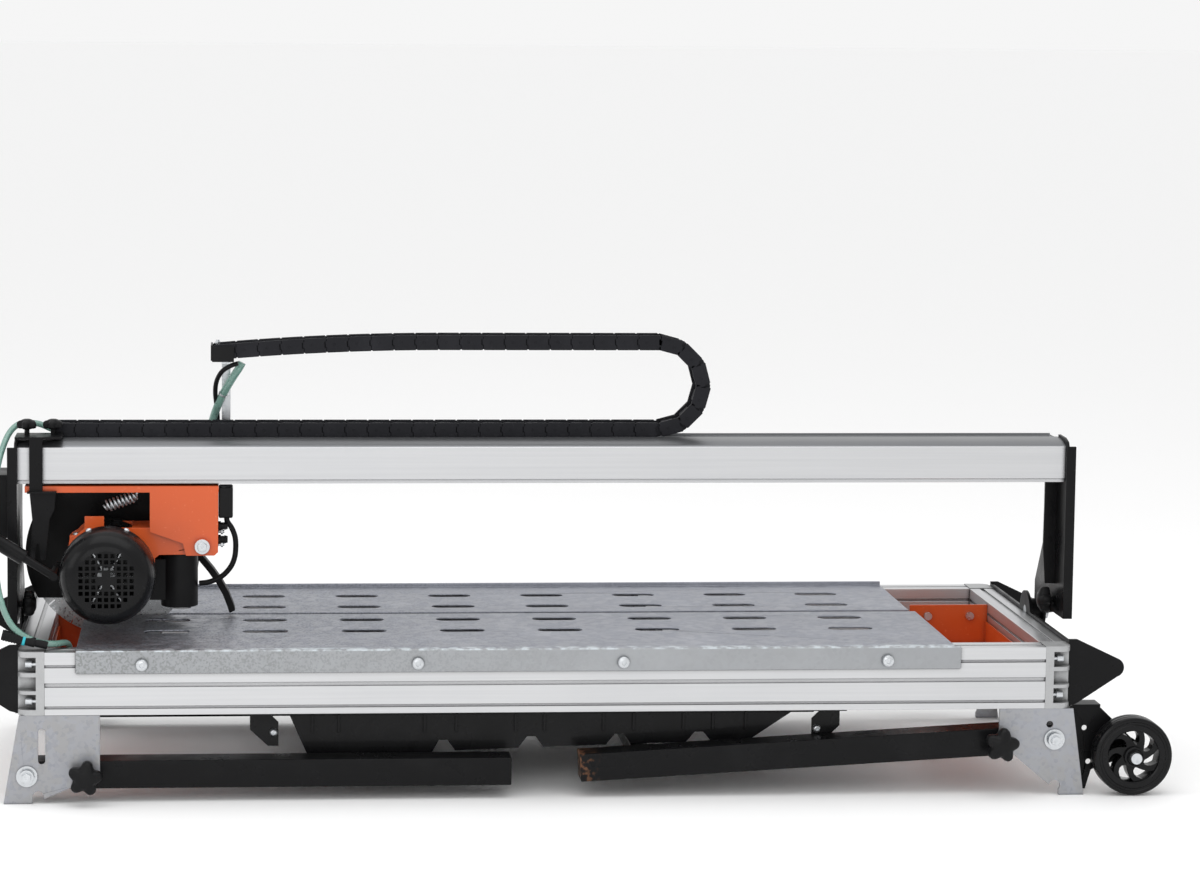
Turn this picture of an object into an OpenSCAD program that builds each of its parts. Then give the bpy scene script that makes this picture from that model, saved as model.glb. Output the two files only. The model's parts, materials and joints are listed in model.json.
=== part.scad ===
// Electric rail tile saw: a slotted table on an aluminium frame, with a motor head that rolls
// along an overhead beam. It is stored standing on its foot plates, with the legs folded.
// X runs along the cut, Y from the motor side to the far side, Z up from the floor.

/* [Frame] */
// Length of the frame over its corner castings
frame_l = 1512; // [1400:1:1600]
// Depth of the frame, motor side to far side
frame_d = 500; // [480:1:520]
// Height of the rails
rail_h = 90; // [80:1:100]
// Thickness of the rails
rail_t = 38; // [34:1:42]
// Height of the rails' underside above the floor
frame_z = 127; // [120:1:135]

/* [Table] */
// Thickness of the galvanised table sheets
sheet = 3; // [2:0.5:4]
// Centre of the blade slot between the two tables
slot_y = 18; // [10:1:26]
// Width of the blade slot
slot_w = 12; // [8:1:16]
// Columns of drain slots
columns = 8; // [6:1:8]
// Distance between the columns
column_pitch = 144; // [130:1:150]

/* [Beam] */
// Depth of the beam
beam_d = 110; // [100:1:115]
// Height of the beam's underside
beam_z = 436; // [430:1:450]
// Beam ends, left and right of the frame's middle
beam_left = 765; // [762:1:770]
// Right end of the beam
beam_right = 778; // [770:1:785]

/* [Head] */
// Radius of the diamond blade
blade_r = 125; // [100:1:127]
// Radius of the motor's fan cover
cover_r = 69; // [62:1:70]
// Radius of the motor body
motor_r = 58; // [50:1:60]

/* [Legs and wheels] */
// Side of the square leg tube
tube = 40; // [35:1:42]
// Radius of the transport wheels
wheel_r = 57; // [50:1:58]
// Outer radius of the star knobs
knob_r = 25; // [20:1:28]

/* [Hidden] */
$fn = 48;
middle_x = 33.5;                    // middle of the whole machine, from the frame's middle
half_l = frame_l / 2;
half_d = frame_d / 2;
top_z = frame_z + rail_h;           // top of the rails
table_z = top_z + sheet;            // working surface
grey = "silver";
black = [0.06, 0.06, 0.07];
orange = [0.86, 0.32, 0.13];
// tables
table_x0 = -674;
front_table_x1 = 585;
rear_table_x1 = 577;
first_column = -549;
// beam
beam_y = -beam_d;                   // front face of the beam; its back is at Y 0
beam_top = beam_z + 58;             // floor of the chain's trough
web = 4;                            // thickness of the posts' sheet
tilt_z = table_z;                   // the head tilts about the blade slot's line
// head
motor_x = -632;
motor_z = 315;
pivot_x = -497.5;
pivot_z = 345;
// legs: pivot X, pivot Z, rise towards the frame's end in degrees, length
left_leg = [-743, 40];
right_leg = [733, 82];
right_leg_rise = 3.2;
leg_l = 689;
leg_y = half_d - 5;                 // outer face of the leg tubes
knob_reach = 82;                    // leg pivot to knob
// chain
link_l = 33;
link_h = 22;
chain_w = 40;
chain_y = -42;
bend_x = 178;
bend_r = 65;
lower_z = 508;
upper_z = lower_z + 2 * bend_r;
clearance = 0.05;

module placed() translate([-middle_x, 0, 0]) children();

// Extrudes an X-Z outline from y0 to y1.
module slab(y0, y1) translate([0, y1, 0]) rotate([90, 0, 0]) linear_extrude(y1 - y0) children();

// Extrudes a Y-Z outline from x0 to x1.
module side_slab(x0, x1) translate([x0, 0, 0]) rotate([90, 0, 90]) linear_extrude(x1 - x0) children();

// Cylinder along Y from y0 to y1.
module rod_y(x, z, y0, y1, r) translate([x, y1, z]) rotate([90, 0, 0]) cylinder(h = y1 - y0, r = r);

// Cylinder along X from x0 to x1.
module rod_x(y, z, x0, x1, r) translate([x0, y, z]) rotate([0, 90, 0]) cylinder(h = x1 - x0, r = r);

module box(x, y, z) translate([x[0], y[0], z[0]]) cube([x[1] - x[0], y[1] - y[0], z[1] - z[0]]);

module both_sides() {
    children();
    mirror([0, 1, 0]) children();
}

// Rail section: hollow, with three grooves down the outer face (outer face at 0, height up).
module rail_section() difference() {
    square([rail_t, rail_h]);
    translate([4, 4]) square([rail_t - 8, rail_h - 8]);
    for (groove = [[9, 4], [40, 6], [68, 4]])
        translate([-1, groove[0]]) square([3.5, groove[1]]);
    for (groove = [[11, 4], [42, 6], [70, 4]])
        translate([rail_t - 2.5, groove[0]]) square([3.5, groove[1]]);
    translate([rail_t / 2 - 3, rail_h - 2.5]) square([6, 3.5]);
}

module long_rail() translate([-half_l + rail_t, -half_d, frame_z])
    rotate([90, 0, 90]) linear_extrude(frame_l - 2 * rail_t) rail_section();

module front_rail() placed() color(grey) long_rail();

module rear_rail() placed() color(grey) mirror([0, 1, 0]) long_rail();

module end_rail() translate([half_l, half_d - rail_t, frame_z])
    rotate([90, 0, 0]) linear_extrude(frame_d - 2 * rail_t) mirror([1, 0]) rail_section();

module right_end_rail() placed() color(grey) end_rail();

module left_end_rail() placed() color(grey) mirror([1, 0, 0]) end_rail();

// One corner casting: rounded outside, with three pockets in its outer face.
module corner_casting() difference() {
    union() {
        translate([half_l - rail_t, -half_d, frame_z]) cube([rail_t - 14, rail_t, rail_h + 1]);
        translate([half_l - rail_t, -half_d + 14, frame_z]) cube([rail_t, rail_t - 14, rail_h + 1]);
        translate([half_l - 14, -half_d + 14, frame_z]) cylinder(h = rail_h + 1, r = 14);
    }
    for (pocket = [[8, 22], [35, 20], [61, 22]])
        translate([half_l - 26, -half_d - 1, frame_z + pocket[0]]) cube([40, 18, pocket[1]]);
}

module all_corners() both_sides() {
    children();
    mirror([1, 0, 0]) children();
}

module corner_castings() placed() color("darkgray") all_corners() corner_casting();

// Socket screws in the castings, table screws and the screws of the inner trays.
module frame_screws() placed() color("gainsboro") {
    all_corners() for (z = [frame_z + 19, frame_z + 72]) {
        rod_x(-half_d + 9, z, half_l - 26, half_l - 20, 3);
        rod_x(-half_d + 9, z, half_l - 20, half_l - 11, 5.5);
    }
    for (x = [-581, -190, 104, 486]) rod_y(x, 200, -half_d - 7.5, -half_d - sheet, 8);
    for (side = [-1, 1]) for (x = [624, 690]) rod_y(side * x, 196, 91, 97, 6);
}

module cross_bars() placed() color(grey) for (x = [-590, -210, 180, 540]) difference() {
    box([x, x + 30], [-half_d + rail_t, half_d - rail_t], [top_z - 45, top_z]);
    box([x - 1, x + 31], [slot_y - 50, slot_y + 34], [top_z - 34, top_z + 1]);
}

// A round-ended drain slot centred on x, y.
module drain_slot(x, y) for (end = [-21, 21]) translate([x + end, y, table_z - 10]) cylinder(h = 20, r = 12);

module drain_slots(rows) for (y = rows) for (i = [0 : columns - 1]) {
    drain_slot(first_column + i * column_pitch, y);
    translate([first_column + i * column_pitch - 21, y - 12, table_z - 10]) cube([42, 24, 20]);
}

module front_table() placed() color("lightsteelblue") difference() {
    union() {
        box([table_x0, front_table_x1], [-half_d - sheet, slot_y - slot_w / 2], [top_z, table_z]);
        box([table_x0, front_table_x1 + 8], [-half_d - sheet, -half_d], [top_z - 30, table_z]);
    }
    drain_slots([-32, -116]);
}

module rear_table() placed() color("lightsteelblue") difference() {
    union() {
        box([table_x0, rear_table_x1], [slot_y + slot_w / 2, 233], [top_z, table_z]);
        box([table_x0, rear_table_x1], [230, 233], [top_z, table_z + 6]);
    }
    drain_slots([158, 70]);
}

// Painted sheet trays that close the frame's ends under the tables.
module inner_tray() {
    box([596, half_l - rail_t], [-half_d + rail_t, 100], [frame_z + 22, frame_z + 25]);
    box([596, half_l - rail_t], [97, 100], [frame_z + 22, top_z - 4]);
    box([half_l - rail_t - 3, half_l - rail_t], [-half_d + rail_t, 100], [frame_z + 22, top_z - 30]);
}

module inner_trays() placed() color(orange) {
    inner_tray();
    mirror([1, 0, 0]) inner_tray();
}

// Black sheet bracket on a frame end: end plate, ear for the tilt bolt and two nosed wings.
module end_bracket(ear_x) {
    side_slab(half_l, half_l + 4) difference() {
        union() {
            translate([-half_d + 17, frame_z]) square([frame_d - 34, rail_h + 5]);
            translate([slot_y, tilt_z]) circle(r = 30);
        }
        translate([slot_y, tilt_z]) circle(r = 8);
    }
    side_slab(half_l + 4, ear_x) difference() {
        translate([slot_y, tilt_z]) circle(r = 18);
        translate([slot_y, tilt_z]) circle(r = 8);
    }
    both_sides() slab(-half_d + 17, -half_d + 21) union() {
        polygon([[half_l, frame_z], [half_l, frame_z + 98], [half_l + 12, frame_z + 98],
            [829, 196], [832, 172], [half_l + 12, frame_z + 3]]);
        translate([824, 183]) circle(r = 14);
    }
}

module right_end_bracket() placed() color(black) end_bracket(beam_right - 0.3);

module left_end_bracket() placed() color(black) mirror([1, 0, 0]) end_bracket(beam_left - 0.3);

// Bolt that a post tilts on, from inside the end bracket to its nut outside the post.
module tilt_bolt(x_out) {
    rod_x(slot_y, tilt_z, half_l + 0.2, x_out, 8 - clearance);
    rod_x(slot_y, tilt_z, x_out, x_out + 7, 13);
}

module tilt_bolts() placed() color("gainsboro") {
    tilt_bolt(beam_right + web + 1);
    mirror([1, 0, 0]) tilt_bolt(beam_left + web + 1);
}

// Foot plates: outline in X-Z, notched for the knob's stud and slotted for the leg bolt.
module left_foot() slab(-half_d, -half_d + 4) difference() {
    polygon([[-754, frame_z], [-640, frame_z], [-640, 40], [-716, 8], [-738, 0], [-776, 0]]);
    translate([left_leg[0] + knob_reach, left_leg[1]]) circle(r = 9);
    translate([left_leg[0] + knob_reach - 9, -10]) square([60, 50]);
    translate([-727, 10]) circle(r = 8);
    translate([-735, -10]) square([16, 20]);
    translate([-722, 103]) circle(r = 5);
    translate([-722, 62]) circle(r = 5);
    translate([-727, 62]) square([10, 41]);
    translate([left_leg[0], left_leg[1]]) circle(r = 6);
}

module right_foot() slab(-half_d, -half_d + 4) difference() {
    polygon([[652, frame_z], [760, frame_z], [778, 0], [742, 0], [728, 14], [652, 78]]);
    translate([right_leg[0] - knob_reach, right_leg[1] - 4.6]) circle(r = 9);
    translate([600, 0]) square([59, right_leg[1] - 4.6]);
    translate([735, 14]) circle(r = 8);
    translate([727, -10]) square([14, 22]);
    translate([726, 104]) circle(r = 5);
    translate([right_leg[0], right_leg[1]]) circle(r = 6);
}

module left_feet() placed() color(grey) both_sides() left_foot();

module right_feet() placed() color(grey) both_sides() right_foot();

// Leg pivot bolts with washers, and the wheels' axle bolts.
module leg_bolts() placed() color("gainsboro") both_sides() {
    for (leg = [left_leg, right_leg]) {
        rod_y(leg[0], leg[1], -half_d - 2, -leg_y + tube + 2, 6 - clearance);
        rod_y(leg[0], leg[1], -half_d - 2, -half_d, 15);
        rod_y(leg[0], leg[1], -half_d - 8, -half_d - 2, 8);
    }
    rod_y(848, 58, -half_d - 21, -half_d + 42, 6 - clearance);
    rod_y(848, 58, -half_d - 25, -half_d - 19, 8);
}

// Sheet bracket behind each wheel, bolted to the frame's end.
module wheel_bracket() difference() {
    union() {
        slab(-half_d + 28, -half_d + 32) union() {
            polygon([[761, 126.5], [808, 122], [866, 66], [862, 46], [830, 42],
                [796, 30], [788, 2], [779, 2]]);
            translate([848, 58]) circle(r = 20);
        }
        box([761, 765], [-half_d + 22, -half_d + 60], [60, 126.5]);
        box([761, 808], [-half_d + 28, -half_d + 60], [122.5, 126.5]);
    }
    rod_y(848, 58, -half_d, -half_d + 50, 6);
    rod_y(785, 92, -half_d, -half_d + 50, 4);
    rod_y(792, 42, -half_d, -half_d + 50, 4);
}

module wheel_brackets() placed() color(black) both_sides() wheel_bracket();

// Water tray: a stepped basin that falls towards the pump.
tray_outline = [[-400, 126.5], [-400, 122], [-378, 122], [-372, 114], [-345, 53], [-168, 51], [-155, 74],
    [-143, 74], [-131, 58], [-40, 61], [-27, 78], [-15, 78], [-3, 62], [88, 65], [101, 81],
    [113, 81], [125, 66], [205, 68], [218, 83], [230, 83], [242, 69], [300, 72], [362, 113],
    [374, 122], [400, 122], [400, 126.5]];

module water_tray() placed() color(black) difference() {
    slab(-190, 190) polygon(tray_outline);
    slab(-186, 186) polygon([for (p = tray_outline) [p[0] * 0.98, p[1] + 4]]);
}

module tray_hanger(side) {
    slab(-203, -199) polygon([[side * 428, 126.5], [side * 428, 94], [side * 402, 70],
        [side * 387, 70], [side * 387, 104], [side * 410, 126.5]]);
    box(side > 0 ? [378, 430] : [-430, -378], [-half_d + 6, -192], [124.5, 127]);
    box(side > 0 ? [380, 428] : [-428, -380], [-203, -184], [118, 121.5]);
    rod_y(side * 394, 80, -204.6, -203, 4);
}

module tray_hangers() placed() color(black) both_sides() {
    tray_hanger(-1);
    tray_hanger(1);
}

module pump() placed() color([0.1, 0.12, 0.2]) {
    box([-310, -250], [-30, 30], [57, 100]);
    translate([-280, 0, 100]) cylinder(h = 14, r = 9);
}

// Swept tubes: the corners of a polyline are rounded by repeated corner cutting.
function cut_corners(p, n) = n == 0 ? p : cut_corners(concat([p[0]], [for (i = [0 : len(p) - 2])
    each [p[i] * 0.75 + p[i + 1] * 0.25, p[i] * 0.25 + p[i + 1] * 0.75]], [p[len(p) - 1]]), n - 1);
function unit(v) = v / norm(v);
function heading(p, i) = unit(p[min(i + 1, len(p) - 1)] - p[max(i - 1, 0)]);
module tube_along(route, r, sides) {
    p = cut_corners(route, 2);
    up = [0.13, 0.97, 0.21];
    points = [for (i = [0 : len(p) - 1]) let (t = heading(p, i), a = unit(cross(t, up)), b = cross(t, a))
        each [for (k = [0 : sides - 1]) p[i] + r * (a * cos(360 * k / sides) + b * sin(360 * k / sides))]];
    n = len(p);
    polyhedron(points, concat([[for (k = [0 : sides - 1]) k]],
        [for (i = [0 : n - 2]) for (k = [0 : sides - 1]) [i * sides + k, i * sides + sides + k,
            i * sides + sides + (k + 1) % sides, i * sides + (k + 1) % sides]],
        [[for (k = [sides - 1 : -1 : 0]) (n - 1) * sides + k]]), convexity = 6);
}

// Hose from the chain's fixed end down the left end to the pump's side of the frame.
hose_route = [[-718, -46, 508], [-742, -48, 519], [-776, -58, 517], [-793, -110, 470],
    [-796, -170, 410], [-790, -215, 345], [-782, -232, 290], [-764, -240, 250],
    [-732, -238, 230], [-704, -230, 225], [-688, -206, 224], [-685, -192, 212], [-685, -150, 192]];

module water_hose() placed() color("darkseagreen") tube_along(hose_route, 4.5, 8);

// Transport wheel: tyre ring, hub and seven leaning spokes.
module wheel() rotate([90, 0, 0]) difference() {
    union() {
        rotate_extrude() polygon([[43, 0], [54, 0], [57, 4], [57, 26], [54, 30], [43, 30]]);
        cylinder(h = 34, r = 15);
        for (i = [0 : 6]) rotate([0, 0, i * 360 / 7]) translate([0, -5, 6])
            rotate([0, 0, 20]) translate([8, 0, 0]) cube([38, 9, 18]);
    }
    translate([0, 0, -1]) cylinder(h = 40, r = 6);
}

module front_wheel() placed() color(black) translate([848, -half_d + 18, 58]) wheel();

module rear_wheel() placed() color(black) mirror([0, 1, 0]) translate([848, -half_d + 18, 58]) wheel();

// One leg tube along +X from its pivot, with the pivot's and the knob stud's holes.
module leg_tube() difference() {
    box([-16, leg_l], [-leg_y, -leg_y + tube], [-tube / 2, tube / 2]);
    box([-17, leg_l - 3], [-leg_y + 2, -leg_y + tube - 2], [-tube / 2 + 2, tube / 2 - 2]);
    rod_y(0, 0, -leg_y - 1, -leg_y + tube + 1, 6);
    rod_y(knob_reach, 0, -leg_y - 1, -leg_y + tube / 2, 5);
}

module leg_pair(bar_x) {
    both_sides() leg_tube();
    box([bar_x, bar_x + 25], [-leg_y + tube, leg_y - tube], [-16, 8]);
}

module left_legs() placed() color(black) translate([left_leg[0], 0, left_leg[1]]) leg_pair(480);

module right_legs() placed() color(black) translate([right_leg[0], 0, right_leg[1]])
    rotate([0, -right_leg_rise, 0]) mirror([1, 0, 0]) leg_pair(580);

// Five-lobed star knob with its axis along Z and its stud down from z 0.
module star_knob(r, stud_r, stud_l) {
    cylinder(h = r * 0.7, r = r * 0.72);
    cylinder(h = r * 0.9, r = r * 0.4);
    for (i = [0 : 4]) rotate([0, 0, 72 * i + 9]) translate([r * 0.7, 0, 0.6])
        cylinder(h = r * 0.6, r = r * 0.3);
    translate([0, 0, -stud_l]) cylinder(h = stud_l + 1, r = stud_r);
}

module leg_knob(x, z) translate([x, -half_d - 10, z]) rotate([90, 0, 0]) star_knob(knob_r, 5 - clearance, 30);

module left_knob() leg_knob(left_leg[0] + knob_reach, left_leg[1]);

module right_knob() leg_knob(right_leg[0] - knob_reach * cos(right_leg_rise),
    right_leg[1] - knob_reach * sin(right_leg_rise));

module front_left_knob() placed() color(black) left_knob();

module rear_left_knob() placed() color(black) mirror([0, 1, 0]) left_knob();

module front_right_knob() placed() color(black) right_knob();

module rear_right_knob() placed() color(black) mirror([0, 1, 0]) right_knob();

// Beam: hollow section with a slot below for the trolley and a trough above for the chain.
module beam() placed() color(grey) side_slab(-beam_left, beam_right) difference() {
    polygon([[beam_y + 3, beam_z], [beam_y + 3, beam_z + 6], [beam_y, beam_z + 6], [beam_y, beam_z + 53],
        [beam_y + 3, beam_z + 56], [beam_y + 14, beam_z + 60], [beam_y + 30, beam_z + 62],
        [beam_y + 46, beam_z + 62.5], [beam_y + 46, beam_top], [-20, beam_top], [-20, beam_top + 4],
        [-6, beam_top + 2], [0, beam_z + 53], [0, beam_z + 6], [-3, beam_z + 6], [-3, beam_z]]);
    translate([beam_y + 4, beam_z + 5]) square([beam_d - 8, 46]);
    translate([-73, beam_z - 1]) square([36, 10]);
}

// Post: a web beside the beam's end, narrowing to the tilt bolt, with a flange folded outwards.
module post(x0, inner_flange) difference() {
    union() {
        side_slab(x0, x0 + web) union() {
            polygon([[-117, 232], [-117, 490], [-112, 497], [-98, 501], [-66, 502],
                [-66, beam_top], [4, beam_top], [4, 330], [46, 262], [46, tilt_z],
                [-10, tilt_z], [-60, 232]]);
            translate([slot_y, tilt_z]) circle(r = 28);
        }
        box([x0, x0 + 14], [-117, -113], [232, 490]);
        if (inner_flange) slab(-64, -60) polygon([[x0 + 1, 276], [x0 + 1, beam_z - 1],
            [x0 - 17, beam_z - 1], [x0 - 18, 330], [x0 - 14, 276]]);
    }
    rod_x(slot_y, tilt_z, x0 - 1, x0 + 8, 8);
    rod_x(-60, 250, x0 - 1, x0 + 8, 5);
}

module right_post() placed() color(black) post(beam_right, true);

module left_post() placed() color(black) mirror([1, 0, 0]) post(beam_left, false);

// Supply box outside the left post.
module control_box() placed() color(black) difference() {
    union() {
        box([-833, -beam_left - web], [-100, -20], [355, 448]);
        box([-833, -805], [-104, -100], [372, 412]);
    }
    box([-830, -808], [-105, -98], [377, 407]);
}

module power_switch() placed() color("firebrick") box([-829, -809], [-110, -102.5], [378, 406]);

// Lock for the tilt, screwed through a post from the inside.
module tilt_knob(x0) translate([x0 - 6, -60, 250]) rotate([0, -90, 0]) star_knob(20, 5 - clearance, 14);

module right_tilt_knob() placed() color(black) tilt_knob(beam_right);

module left_tilt_knob() placed() color(black) mirror([1, 0, 0]) tilt_knob(beam_left);

// Cable chain links, along +X from a pin at the origin.
module link(l = link_l + 0.6) difference() {
    translate([-1, chain_y - chain_w / 2, -link_h / 2]) cube([l, chain_w, link_h]);
    translate([-2, chain_y - chain_w / 2 + 5, -link_h / 2 + 3]) cube([link_l + 3, chain_w - 10, link_h - 6]);
    translate([link_l - 6, chain_y - chain_w / 2 - 1, -link_h / 2 - 1]) cube([4, chain_w + 2, 4]);
}

function upper_rise(x) = x > -140 ? 0 : -13 * pow((-140 - x) / 311, 2);

module chain_lower() placed() color(black)
    for (i = [0 : 26]) translate([bend_x - 3.5 - link_l * (i + 1), 0, lower_z]) link();

module chain_bend() placed() color(black)
    for (i = [0 : 5]) translate([bend_x, 0, lower_z + bend_r]) rotate([0, -30 * i, 0])
        translate([0, 0, -bend_r]) rotate([0, -15, 0]) translate([1, 0, 0]) link(i < 5 ? link_l + 0.6 : 30);

module chain_upper() placed() color(black)
    for (i = [0 : 19]) let (x0 = bend_x - link_l * (i + 1), rise = upper_rise(x0))
        translate([x0, 0, upper_z + rise]) rotate([0, -atan2(upper_rise(x0 + link_l) - rise, link_l), 0])
            link(link_l - 0.8);

// Carriage sheet under the beam: top plate, front lip and the panel that carries the head's pivot.
module carriage_plate() placed() color(orange) difference() {
    union() {
        box([-754, -474], [beam_y - 3, -3], [beam_z - 6, beam_z - 3]);
        box([-754, -474], [beam_y - 3, beam_y], [beam_z - 12, beam_z - 3]);
        slab(beam_y - 3, beam_y) polygon([[-573.5, beam_z - 4], [-474.5, beam_z - 4], [-474.5, 336],
            [-480, 331], [-521, 331], [-525.5, 349], [-573.5, 366]]);
        slab(-34, -31)
            polygon([[-560, beam_z - 4], [-474.5, beam_z - 4], [-474.5, 331], [-521, 331], [-540, 372]]);
        rod_y(pivot_x, pivot_z, beam_y - 9, beam_y - 3, 11);
        rod_y(pivot_x, pivot_z, beam_y - 4, -32, 8 - clearance);
    }
}

// Roller truck inside the beam, hung below through the slot.
module trolley() placed() color("dimgray") difference() {
    union() {
        box([-720, -500], [-72, -38], [beam_z - 3, beam_z + 4]);
        box([-720, -500], [-70, -40], [beam_z + 4, beam_z + 30]);
    }
    for (x = [-700, -520]) rod_y(x, beam_z + 17.2, -80, -30, 4);
}

module wheelset(x) {
    rod_y(x, beam_z + 17.2, -100, -10, 4 - clearance);
    rod_y(x, beam_z + 17.2, -98, -76, 12);
    rod_y(x, beam_z + 17.2, -34, -12, 12);
}

module left_wheelset() placed() color("gainsboro") wheelset(-700);

module right_wheelset() placed() color("gainsboro") wheelset(-520);

// Strap over the beam that clamps the carriage, and its hook for the head below.
module carriage_strap() placed() color(black) difference() {
    union() {
        box([-747, -728], [beam_y - 7, beam_y - 4], [beam_z - 12, 505]);
        box([-768, -700], [beam_y - 7, -66], [502.5, 505.5]);
        box([-750, -708], [beam_y - 14, beam_y - 3.5], [beam_z - 12, beam_z - 9]);
        slab(beam_y - 7, beam_y - 4) polygon([[-747, 427], [-709, 427], [-711, 400], [-718, 385], [-724, 326],
            [-731, 326], [-733, 350], [-737, 350], [-739, 326], [-746, 326], [-743, 385]]);
    }
    for (x = [-753, -715]) translate([x, -80, 495]) cylinder(h = 20, r = 4);
}

module clamp_knob(x) translate([x, -80, 514]) star_knob(15, 4 - clearance, 13);

module left_clamp_knob() placed() color(black) clamp_knob(-753);

module right_clamp_knob() placed() color(black) clamp_knob(-715);

// Strut behind the beam that holds the chain's moving end.
module chain_strut() placed() color(grey) {
    box([-474, -457], [-31, 8], [beam_z - 9, beam_z - 6]);
    box([-470, -457], [4, 8], [beam_z - 8, 609]);
    box([-470, -457], [-60, 8], [606, 609]);
}

module switch_box() placed() color(black) box([-474, -453], [-108, -70], [385, 430]);

// Hose and lead from the chain's moving end down behind the beam.
feed_route = [[-440, -30, 605], [-444, -30, 597], [-452, -26, 585], [-463, -18, 566], [-473, -9, 546],
    [-481, 0, 524], [-486, 9, 504], [-488, 14, 484], [-488, 14, 430], [-492, 14, 400]];

module feed_hose() placed() color("darkseagreen") tube_along(feed_route, 5.5, 8);

// Lead from the switch box in a loop down to the motor's capacitor box.
cable_route = [[-462, -90, 384.8], [-462, -90, 378], [-454, -90, 368], [-448, -90, 350],
    [-450, -88, 318], [-466, -84, 296], [-486, -80, 286], [-502, -78, 284]];

module motor_cable() placed() color(black) tube_along(cable_route, 4, 8);

// Extension spring that lifts the head.
coil = [for (t = [0 : 60 : 360 * 9])
    [-641 + 50 * t / 3240, -94 + 8 * cos(t), 399 + 19 * t / 3240 + 8 * sin(t)]];

module lift_spring() placed() color("gainsboro") tube_along(coil, 1.2, 6);

// Arm plates that hold the motor and turn on the pivot.
module arm_outline(tab) difference() {
    union() {
        intersection() {
            translate([motor_x, motor_z]) circle(r = 66);
            translate([motor_x - 70, motor_z - 70]) square([140, 126]);
        }
        polygon([[-692, 340], [-690, 354], [-660, 371], [-565, 371], [-520, 358], [-497.5, 358.5],
            [-484, 345], [-497.5, 331.5], [-560, 331], [-600, 300]]);
        translate([pivot_x, pivot_z]) circle(r = 14);
        if (tab) translate([-668, 366]) square([28, 22]);
    }
    translate([motor_x, motor_z]) circle(r = motor_r + 0.1);
    translate([pivot_x, pivot_z]) circle(r = 8);
}

module motor_arm() placed() color(orange) {
    slab(-106, -102) arm_outline(true);
    slab(-44, -40) arm_outline(false);
    difference() {
        rod_y(pivot_x, pivot_z, -102, -44, 13);
        rod_y(pivot_x, pivot_z, -103, -43, 8);
    }
    box([-600, -562], [-106, -40], [366, 371]);
}

module motor_body() placed() color([0.1, 0.1, 0.11]) difference() {
    union() {
        rod_y(motor_x, motor_z, -166, -20, motor_r - 6);
        rod_y(motor_x, motor_z, -30, -12, motor_r - 2);
        rod_y(motor_x, motor_z, -172, -160, cover_r - 2 - clearance);
        for (i = [0 : 23]) translate([motor_x, -30, motor_z]) rotate([90, i * 15, 0])
            translate([motor_r - 8, -1.5, 0]) cube([8, 3, 130]);
    }
    rod_y(motor_x, motor_z, -174, -11, 9.5);
}

// Fan cover: a domed pressed cap with a square-holed inlet.
module fan_cover() placed() color(black) translate([motor_x, -166, motor_z]) rotate([90, 0, 0]) difference() {
    rotate_extrude() polygon([[0, 62], [42, 62], [50, 60], [57, 55.5], [62.5, 49], [66.5, 40],
        [68.6, 28], [cover_r, 14], [cover_r, 0], [cover_r - 2, 0], [cover_r - 2, 14], [66.6, 27.5],
        [64.6, 39], [60.8, 47.7], [55.6, 53.8], [49.3, 57.8], [41.6, 59.8], [0, 59.8]]);
    for (i = [-4 : 4]) for (j = [-4 : 4]) if (norm([i, j]) < 4.6 && norm([i, j]) > 1.2)
        translate([i * 9 - 3, j * 9 - 3, 50]) cube([6, 6, 20]);
}

module capacitor_box() placed() color(black) difference() {
    union() {
        translate([-531, -74, 252]) cylinder(h = 78, r = 27);
        box([-574, -531], [-92, -56], [262, 322]);
    }
    rod_y(motor_x, motor_z, -170, 0, motor_r + 0.2);
}

// Blade guard: a round-topped shell, open below, with a rubber flap behind.
module guard_outline(r) intersection() {
    translate([motor_x, motor_z]) circle(r = r);
    translate([motor_x - r - 5, table_z + 28]) square([2 * r + 10, 2 * r + 10]);
}

module blade_guard() placed() color(black) difference() {
    union() {
        slab(4, 32) guard_outline(blade_r + 4);
        rod_y(motor_x, motor_z, -12 + clearance, 5, 34);
    }
    slab(7, 29) guard_outline(blade_r + 2);
    box([-800, -400], [7, 29], [200, table_z + 29]);
    rod_y(motor_x, motor_z, -13, 8, 22);
    rod_y(motor_x, motor_z, 28, 33, 26);
}

// Pull handle: a bent bar from the arm's left side with a grip.
module pull_handle() placed() color(black) {
    rod_y(-709, 312, -176, -108, 6);
    box([-708, -690], [-116, -106], [300, 322]);
    translate([-709, -170, 312]) rotate([0, -58, 0]) cylinder(h = 134, r = 6);
    translate([-709, -170, 312]) rotate([0, -58, 0]) translate([0, 0, 50]) cylinder(h = 80, r = 11);
}

module blade() placed() color("lightgray") difference() {
    rod_y(motor_x, motor_z, slot_y - 1.1, slot_y + 1.1, blade_r);
    rod_y(motor_x, motor_z, slot_y - 2, slot_y + 2, 9);
    for (i = [0 : 17]) translate([motor_x, slot_y, motor_z]) rotate([0, i * 20, 0])
        translate([blade_r - 12, -2, -1]) cube([20, 4, 2]);
}

module blade_flanges() placed() color("dimgray") difference() {
    union() {
        rod_y(motor_x, motor_z, slot_y - 5, slot_y - 1.1, 25);
        rod_y(motor_x, motor_z, slot_y + 1.1, slot_y + 5, 25);
        rod_y(motor_x, motor_z, slot_y + 5, slot_y + 13, 13);
    }
    rod_y(motor_x, motor_z, 0, 60, 9);
}

module motor_shaft() placed() color("gainsboro") {
    rod_y(motor_x, motor_z, -190, slot_y + 16, 9 - clearance);
    rod_y(motor_x, motor_z, -198, -182, 14);
    for (i = [0 : 5]) translate([motor_x, -184, motor_z]) rotate([90, i * 60, 0])
        translate([10, -1, 0]) cube([42, 2, 14]);
}

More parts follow.
